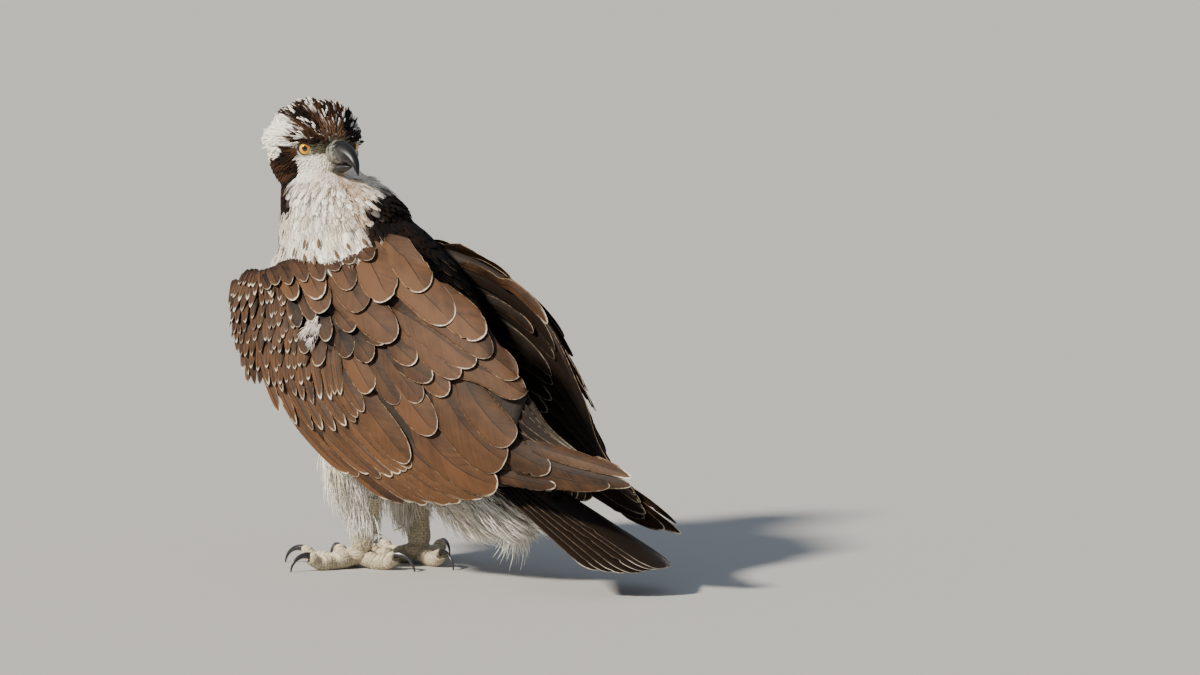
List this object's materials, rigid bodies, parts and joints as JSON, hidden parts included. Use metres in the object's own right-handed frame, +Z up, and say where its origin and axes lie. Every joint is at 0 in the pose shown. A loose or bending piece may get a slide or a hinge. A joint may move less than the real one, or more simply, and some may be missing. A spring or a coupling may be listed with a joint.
{
  "type": "osprey",
  "caption": "Life-size still model of an osprey standing upright with folded wings and fanned tail, its head turned back over its left shoulder.",
  "frame": {"origin": "centre of the model's outline on the floor that the toes stand on", "axes": "-X is the way the breast faces, -Y is the bird's left side, +Z is up"},
  "size_m": [0.4158, 0.1756, 0.378],
  "materials": {
    "white_plumage": "soft white body feathers with cream shading",
    "brown_plumage": "warm brown wing feathers with cream edges and dark shafts",
    "dark_plumage": "blackish brown feathers with buff edges and a faint gloss",
    "foot_skin": "pale greenish grey skin with fine raised scales",
    "horn": "polished black horn of the bill and claws",
    "eye": "wet, glossy eye with a yellow-orange iris"
  },
  "bodies": {
    "root": {"torso": "white_plumage", "neck": "white_plumage", "head": "white_plumage", "eye_left": "eye", "eye_right": "eye", "bill_upper": "horn", "bill_lower": "horn", "wing_left": "brown_plumage", "wing_right": "dark_plumage", "tail": "dark_plumage", "thigh_left": "white_plumage", "thigh_right": "white_plumage", "tarsus_left": "foot_skin", "tarsus_right": "foot_skin", "toe_left_1": "foot_skin", "toe_left_2": "foot_skin", "toe_left_3": "foot_skin", "toe_left_4": "foot_skin", "toe_right_1": "foot_skin", "toe_right_2": "foot_skin", "toe_right_3": "foot_skin", "toe_right_4": "foot_skin", "claw_left_1": "horn", "claw_left_2": "horn", "claw_left_3": "horn", "claw_left_4": "horn", "claw_right_1": "horn", "claw_right_2": "horn", "claw_right_3": "horn", "claw_right_4": "horn"}
  },
  "joints": []
}
